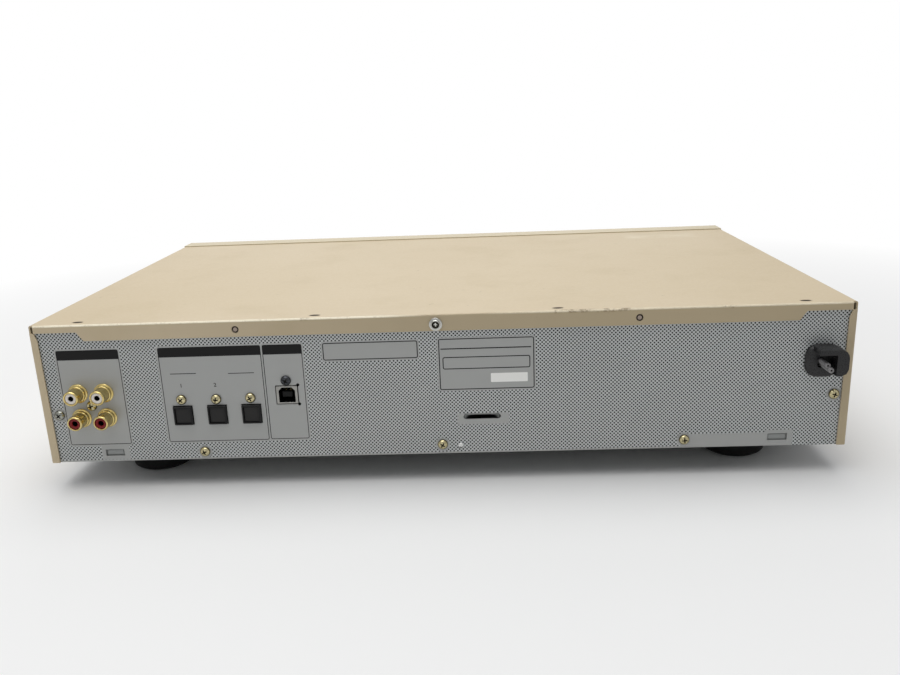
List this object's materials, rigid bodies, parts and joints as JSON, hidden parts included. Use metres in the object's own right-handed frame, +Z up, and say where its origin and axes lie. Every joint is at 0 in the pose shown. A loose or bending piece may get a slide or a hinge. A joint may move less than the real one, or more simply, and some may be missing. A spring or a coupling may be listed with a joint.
{
  "type": "minidisc deck",
  "caption": "Full-width hi-fi minidisc deck with a folded steel cover, rear sockets, slot-loading drive, jog dial and feet.",
  "frame": {"origin": "on the floor under the middle of the deck, at the middle of its box's bottom", "axes": "+X across the deck, +Y to the rear with the connectors, -Y to the front with the controls, +Z up"},
  "size_m": [0.43, 0.2872, 0.0945],
  "materials": {
    "aluminium": "aluminium",
    "black_moulded_plastic": "black moulded plastic",
    "bright_steel": "bright steel",
    "champagne_paint": "champagne paint",
    "champagne_plastic": "champagne plastic",
    "circuit_board": "circuit board",
    "cord_grey": "cord grey",
    "display_glass": "display glass",
    "foot_rubber": "foot rubber",
    "gold_plating": "gold plating",
    "grey_moulded_plastic": "grey moulded plastic",
    "nickel_plating": "nickel plating",
    "printed_steel": "printed steel",
    "smoked_acrylic": "smoked acrylic",
    "transformer_iron": "transformer iron",
    "white_acetal": "white acetal",
    "zinc_plated_steel": "zinc plated steel"
  },
  "bodies": {
    "cabinet": {"chassis_pan": "zinc_plated_steel", "cord_bush": "black_moulded_plastic", "cord_stub": "cord_grey", "cover_screw": "nickel_plating", "display_tube": "display_glass", "display_window": "smoked_acrylic", "filter_capacitor": "black_moulded_plastic", "foot_1": "foot_rubber", "foot_2": "foot_rubber", "foot_3": "foot_rubber", "foot_4": "foot_rubber", "front_board": "circuit_board", "front_panel": "champagne_plastic", "guide_rod_1": "bright_steel", "guide_rod_2": "bright_steel", "heat_sink": "aluminium", "jog_encoder": "zinc_plated_steel", "level_pot": "zinc_plated_steel", "loading_motor": "bright_steel", "main_board": "circuit_board", "md_chassis": "zinc_plated_steel", "optical_socket_1": "black_moulded_plastic", "optical_socket_2": "black_moulded_plastic", "optical_socket_3": "black_moulded_plastic", "phones_jack": "black_moulded_plastic", "power_transformer": "transformer_iron", "rca_block": "black_moulded_plastic", "rca_shell_1": "gold_plating", "rca_shell_2": "gold_plating", "rca_shell_3": "gold_plating", "rca_shell_4": "gold_plating", "rear_panel": "printed_steel", "sled_motor": "bright_steel", "slot_bezel": "black_moulded_plastic", "spindle_motor": "bright_steel", "top_cover": "champagne_paint", "usb_insulator": "black_moulded_plastic", "usb_socket": "nickel_plating"},
    "play_button": {"play_button": "champagne_plastic"},
    "pause_button": {"pause_button": "champagne_plastic"},
    "stop_button": {"stop_button": "champagne_plastic"},
    "rewind_button": {"rewind_button": "champagne_plastic"},
    "forward_button": {"forward_button": "champagne_plastic"},
    "record_button": {"record_button": "champagne_plastic"},
    "power_button": {"power_button": "champagne_plastic"},
    "eject_button": {"eject_button": "champagne_plastic"},
    "jog_shaft": {"jog_shaft": "aluminium"},
    "jog_knob": {"jog_knob": "aluminium"},
    "level_knob": {"level_knob": "champagne_plastic"},
    "slot_flap": {"slot_flap": "champagne_plastic"},
    "optical_shutter_1": {"optical_shutter_1": "grey_moulded_plastic"},
    "optical_shutter_2": {"optical_shutter_2": "grey_moulded_plastic"},
    "optical_shutter_3": {"optical_shutter_3": "grey_moulded_plastic"},
    "loading_slider": {"loading_slider": "white_acetal"},
    "cartridge_holder": {"cartridge_holder": "bright_steel"},
    "loading_gear": {"loading_gear": "white_acetal"},
    "pickup_sled": {"pickup_sled": "grey_moulded_plastic"},
    "sled_gear": {"sled_gear": "white_acetal"},
    "recording_head": {"recording_head": "bright_steel"},
    "turntable": {"turntable": "aluminium"}
  },
  "joints": [
    {"name": "play_press", "type": "slide", "parent": "cabinet", "child": "play_button", "axis": [0, 1, 0], "range_m": [0, 0.0008], "stiffness_N_per_m": 600},
    {"name": "pause_press", "type": "slide", "parent": "cabinet", "child": "pause_button", "axis": [0, 1, 0], "range_m": [0, 0.0008], "stiffness_N_per_m": 600},
    {"name": "stop_press", "type": "slide", "parent": "cabinet", "child": "stop_button", "axis": [0, 1, 0], "range_m": [0, 0.0008], "stiffness_N_per_m": 600},
    {"name": "rewind_press", "type": "slide", "parent": "cabinet", "child": "rewind_button", "axis": [0, 1, 0], "range_m": [0, 0.0008], "stiffness_N_per_m": 600},
    {"name": "forward_press", "type": "slide", "parent": "cabinet", "child": "forward_button", "axis": [0, 1, 0], "range_m": [0, 0.0008], "stiffness_N_per_m": 600},
    {"name": "record_press", "type": "slide", "parent": "cabinet", "child": "record_button", "axis": [0, 1, 0], "range_m": [0, 0.0008], "stiffness_N_per_m": 600},
    {"name": "power_press", "type": "slide", "parent": "cabinet", "child": "power_button", "axis": [0, 1, 0], "range_m": [0, 0.0008], "stiffness_N_per_m": 600},
    {"name": "eject_press", "type": "slide", "parent": "cabinet", "child": "eject_button", "axis": [0, 1, 0], "range_m": [0, 0.0008], "stiffness_N_per_m": 600},
    {"name": "jog_press", "type": "slide", "parent": "cabinet", "child": "jog_shaft", "axis": [0, 1, 0], "range_m": [0, 0.0006], "stiffness_N_per_m": 1500},
    {"name": "jog_turn", "type": "hinge", "parent": "jog_shaft", "child": "jog_knob", "pos_m": [0.15, -0.1436, 0.0608], "axis": [0, 1, 0], "continuous": true},
    {"name": "level_turn", "type": "hinge", "parent": "cabinet", "child": "level_knob", "pos_m": [-0.156, -0.1411, 0.0348], "axis": [0, 1, 0], "range_deg": [-150, 150]},
    {"name": "flap_swing", "type": "hinge", "parent": "cabinet", "child": "slot_flap", "pos_m": [-0.084, -0.1256, 0.075], "axis": [1, 0, 0], "range_deg": [0, 78], "stiffness_Nm_per_rad": 0.002},
    {"name": "shutter_1_swing", "type": "hinge", "parent": "cabinet", "child": "optical_shutter_1", "pos_m": [0.13845, 0.132, 0.0451], "axis": [-1, 0, 0], "range_deg": [0, 75], "stiffness_Nm_per_rad": 0.0005},
    {"name": "shutter_2_swing", "type": "hinge", "parent": "cabinet", "child": "optical_shutter_2", "pos_m": [0.1198, 0.132, 0.0451], "axis": [-1, 0, 0], "range_deg": [0, 75], "stiffness_Nm_per_rad": 0.0005},
    {"name": "shutter_3_swing", "type": "hinge", "parent": "cabinet", "child": "optical_shutter_3", "pos_m": [0.10115, 0.132, 0.0451], "axis": [-1, 0, 0], "range_deg": [0, 75], "stiffness_Nm_per_rad": 0.0005},
    {"name": "loading", "type": "slide", "parent": "cabinet", "child": "loading_slider", "axis": [0, 1, 0], "range_m": [0, 0.012]},
    {"name": "holder_drop", "type": "slide", "parent": "cabinet", "child": "cartridge_holder", "axis": [0, 0, -1], "range_m": [0, 0.005]},
    {"name": "loading_gear_turn", "type": "hinge", "parent": "cabinet", "child": "loading_gear", "pos_m": [-0.045, -0.0796, 0.0512], "axis": [-1, 0, 0], "range_deg": [0, 123]},
    {"name": "sled_travel", "type": "slide", "parent": "cabinet", "child": "pickup_sled", "axis": [0, 1, 0], "range_m": [0, 0.017]},
    {"name": "sled_gear_turn", "type": "hinge", "parent": "cabinet", "child": "sled_gear", "pos_m": [-0.1138, -0.0456, 0.0508], "axis": [0, 0, 1], "range_deg": [0, 174]},
    {"name": "head_lower", "type": "hinge", "parent": "pickup_sled", "child": "recording_head", "pos_m": [-0.084, -0.0396, 0.079], "axis": [1, 0, 0], "range_deg": [0, 12]},
    {"name": "spindle_turn", "type": "hinge", "parent": "cabinet", "child": "turntable", "pos_m": [-0.084, -0.0776, 0.0608], "axis": [0, 0, 1], "continuous": true}
  ],
  "couplings": [
    {"joint": "holder_drop", "follows": "loading", "ratio": 0.4166},
    {"joint": "loading_gear_turn", "follows": "loading", "rad_per_m": 178.57},
    {"joint": "head_lower", "follows": "loading", "rad_per_m": 17.45},
    {"joint": "sled_gear_turn", "follows": "sled_travel", "rad_per_m": 178.57}
  ]
}
